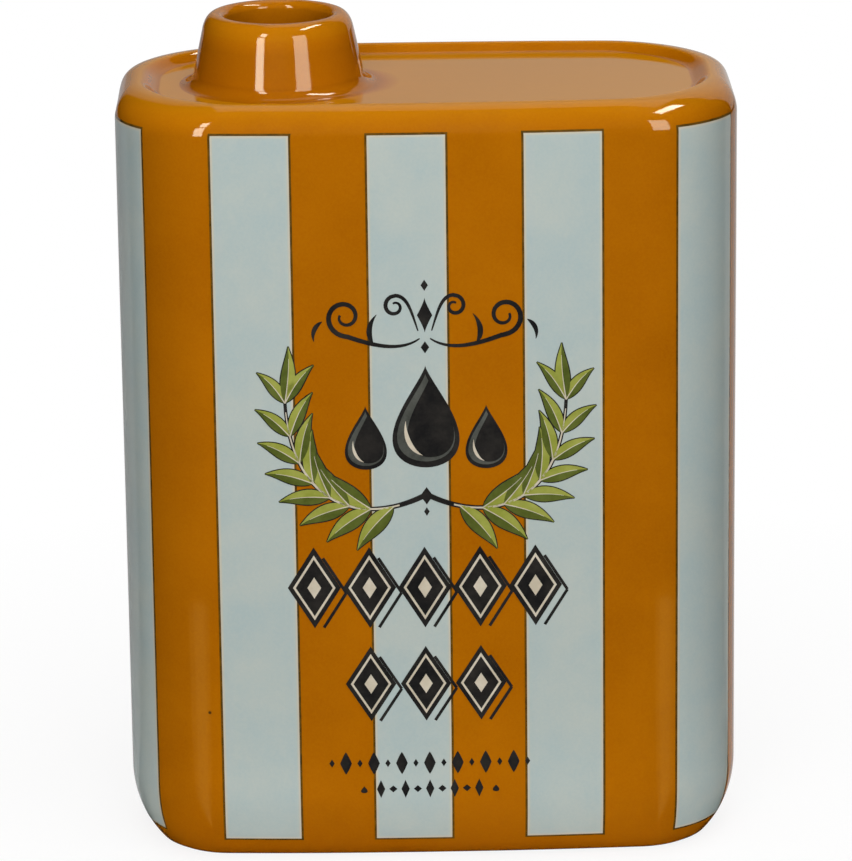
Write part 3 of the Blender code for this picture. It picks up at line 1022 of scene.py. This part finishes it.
bm = bmesh.new()
bmesh.ops.create_grid(bm, x_segments=8, y_segments=8, size=FLOOR_HALF)
floor = place_mesh("studio_floor", bm)
floor.location.z = -5 * FLOOR_GAP
material, tree, shader = start_finish("studio_floor", 0.9)
shader.inputs["Specular IOR Level"].default_value = 0.0
where = place_in_object(tree)
away = add_node(tree, "VectorMath", {0: where}, operation="LENGTH").outputs["Value"]
round_foot = add_node(tree, "VectorMath", {0: where, 1: (0.5, 1, 1)}, operation="MULTIPLY")
beside = add_node(tree, "VectorMath", {0: round_foot.outputs[0]}, operation="LENGTH")
bounce = spread(tree, beside.outputs["Value"], BOUNCE_NEAR, BOUNCE_FAR, FLOOR_NEAR, FLOOR_FAR)
tree.links.new(bounce, shader.inputs["Base Color"])
share = spread(tree, away, SHADOW_NEAR, SHADOW_FAR, SHADOW_SHARE, 0.0)
white = add_node(tree, "Emission", {"Color": (1, 1, 1, 1)})
lit = add_node(tree, "BsdfDiffuse", {"Color": (*SHADOW_FLOOR, 1)})
shown = mix_shaders(tree, share, white, lit)
final = mix_shaders(tree, seen_directly(tree), shader, shown)
tree.links.new(final.outputs[0], tree.nodes["Material Output"].inputs["Surface"])
floor.data.materials.append(material)

world = bpy.data.worlds.new("white_room")
bpy.context.scene.world = world
world.use_nodes = True
tree = world.node_tree
unlit = tree.nodes["Background"]
unlit.inputs["Strength"].default_value = 0.0
white = add_node(tree, "Background", {"Color": (1, 1, 1, 1)})
final = mix_shaders(tree, seen_directly(tree), unlit, white)
tree.links.new(final.outputs[0], tree.nodes["World Output"].inputs["Surface"])
print("The floor is", 2 * FLOOR_HALF, "m wide")

# %% [markdown]
# ## Lamps, placed by their reflections
#
# The streaks that a glossy thing shows need not be what lights it, so the lamps have two jobs. Some
# are only mirrored: a tall narrow softbox at the front left draws the thin streak on the spout, a
# wide one at the front right draws the broad one, and two higher ones catch the lip and the
# corners. The others are large and soft, light the wall evenly and stay out of the mirror image,
# because the glaze would show their outlines. Three of them light the back and the ends.

# %% Lamps
def direction_of(azimuth, elevation):
    """Turns in degrees: azimuth 0 is where the camera stands, positive towards the right."""
    a, e = math.radians(azimuth), math.radians(elevation)
    return Vector((math.sin(a) * math.cos(e), -math.cos(a) * math.cos(e), math.sin(e)))


LAMP_TARGET = Vector((-0.01, -0.02, 0.10))
LAMPS = (  # mirrored or not, name, azimuth, elevation, width, height and distance in metres, watts
    (True, "narrow_left", -27, 14, 0.19, 0.50, 1.0, 4.1),
    (True, "wide_right", 34.5, 16, 0.36, 0.60, 1.0, 5.0),
    (True, "strip_left", -25, 38, 0.14, 0.24, 1.0, 1.7),
    (True, "high_right", 87, 60, 0.66, 0.12, 1.0, 5.4),
    (False, "front_fill", -3.5, 24, 0.42, 0.42, 0.62, 3.0),
    (False, "top_fill", 20, 70, 0.7, 0.7, 0.9, 5.6),
    (False, "back_fill_left", -150, 10, 0.6, 0.6, 1.2, 3.4),
    (False, "back_fill_right", 150, 10, 0.6, 0.6, 1.2, 3.4),
    (False, "back_fill", 180, 14, 0.6, 0.6, 1.2, 3.2),
)
for mirrored, name, azimuth, elevation, width, height, distance, power in LAMPS:
    data = bpy.data.lights.new(name, "AREA")
    data.shape = "RECTANGLE"
    data.size, data.size_y = width, height
    data.energy = power
    lamp = new_object(name, data)
    away = direction_of(azimuth, elevation) * distance
    turn = away.to_track_quat("Z", "Y").to_matrix().to_4x4()
    lamp.matrix_world = Matrix.Translation(LAMP_TARGET + away) @ turn
    lamp.visible_glossy = mirrored
    lamp.visible_diffuse = not mirrored
print(len(LAMPS), "lamps placed,", sum(lamp[0] for lamp in LAMPS), "of them mirrored")

# %% [markdown]
# ## Cards
#
# A photographer stands black and grey cards round a shiny thing and so decides what it mirrors.
# These do the same, and only reflections see them. Black ones stand in front and at the sides, hang
# overhead and lie on the floor, so that the ochre stays deep. Behind are a grey wall, which grows
# brighter towards the right, and a table top, and high behind hangs a pale card. They give the top
# panel its tan veil, and the table draws a pale line along both ends of the bottle, dimmer on the
# left. Two warm pools of light on the floor give the front's corners their faint upright sheen.

# %% Cards that only reflections see
REACH, CARD_TOP = 2.2, 2.4
TABLE_START = (0.05, -0.005)  # the table top starts here, beside the bottle's foot
TABLE_END, TABLE_SLANT = 0.8, 0.44  # its half width, and how far back it is that wide
BACKDROP_LEFT = -0.9  # the wall behind ends here on its left
BLACK_CARD, PALE_CARD = (0.0, 0.0, 0.0), (0.86, 0.85, 0.82)
TABLE_DIM, TABLE_PALE = (0.40, 0.39, 0.39), (0.60, 0.59, 0.57)
BACKDROP_COLOUR, BACKDROP_FADE = (1.0, 0.98, 0.93), (0.20, 0.62)
POOL_START, POOL_LENGTH = (0.043, -0.030), 0.15
POOL_EDGE, POOL_CORE = (0.50, 0.38, 0.10), (1.0, 0.76, 0.20)


def card(name, panels, brightness, fade=None):
    """Flat panels that only reflections can see; fade is their strength at the left and right."""
    bm = bmesh.new()
    for corners in panels:
        bm.faces.new([bm.verts.new(corner) for corner in corners])
    sheet = place_mesh(name, bm)
    material = bpy.data.materials.new(name)
    material.use_nodes = True
    tree = material.node_tree
    tree.nodes.remove(tree.nodes["Principled BSDF"])
    glow = add_node(tree, "Emission", {"Color": (*brightness, 1)})
    if fade:
        across = add_node(tree, "SeparateXYZ", {"Vector": place_in_object(tree)}).outputs["X"]
        strength = spread(tree, across, BACKDROP_LEFT, -BACKDROP_LEFT, *fade)
        tree.links.new(strength, glow.inputs["Strength"])
    tree.links.new(glow.outputs[0], tree.nodes["Material Output"].inputs["Surface"])
    sheet.data.materials.append(material)
    for kind in ("camera", "diffuse", "transmission", "volume_scatter", "shadow"):
        setattr(sheet, "visible_" + kind, False)


def upright_panel(first, second):
    """A wall between two places on the floor."""
    return [(*first, -FLOOR_GAP), (*second, -FLOOR_GAP), (*second, CARD_TOP), (*first, CARD_TOP)]


def level_panel(corners, height, side=1):
    return [(side * x, y, height) for x, y in corners]


front_left, front_right = (-REACH, -REACH), (REACH, -REACH)
back_left, back_right = (-REACH, REACH), (REACH, REACH)
room_corners = (front_left, front_right, back_right, back_left)
card("black_cards", (
    upright_panel(front_left, front_right), upright_panel(front_left, back_left),
    upright_panel(front_right, back_right), upright_panel(back_left, (BACKDROP_LEFT, REACH)),
    level_panel(room_corners, CARD_TOP + FLOOR_GAP), level_panel(room_corners, -3 * FLOOR_GAP),
), BLACK_CARD)
card("backdrop_card", (upright_panel((BACKDROP_LEFT, REACH), back_right),),
     BACKDROP_COLOUR, BACKDROP_FADE)
card("pale_card", (
    level_panel(((-0.4, 0.12), (0.9, 0.12), (0.9, REACH), (-0.4, REACH)), CARD_TOP),
), PALE_CARD)
for name, side, brightness in (("table_left", -1, TABLE_DIM), ("table_right", 1, TABLE_PALE)):
    corners = ((0, 0), TABLE_START, (TABLE_END, TABLE_SLANT), (TABLE_END, REACH), (0, REACH))
    card(name, [level_panel(corners, -FLOOR_GAP, side)], brightness)
for name, first, last, level, brightness in (
    ("pool_edges", 24, 52, -2, POOL_EDGE), ("pool_cores", 30, 45, -1, POOL_CORE),
):
    corners = [POOL_START]
    for turn in (math.radians(first), math.radians(last)):
        corners.append((POOL_START[0] + POOL_LENGTH * math.sin(turn),
                        POOL_START[1] - POOL_LENGTH * math.cos(turn)))
    card(name, [level_panel(corners, level * FLOOR_GAP, side) for side in (-1, 1)], brightness)
bpy.context.scene.view_settings.view_transform = "Standard"
print("Cards stand", REACH, "m away")
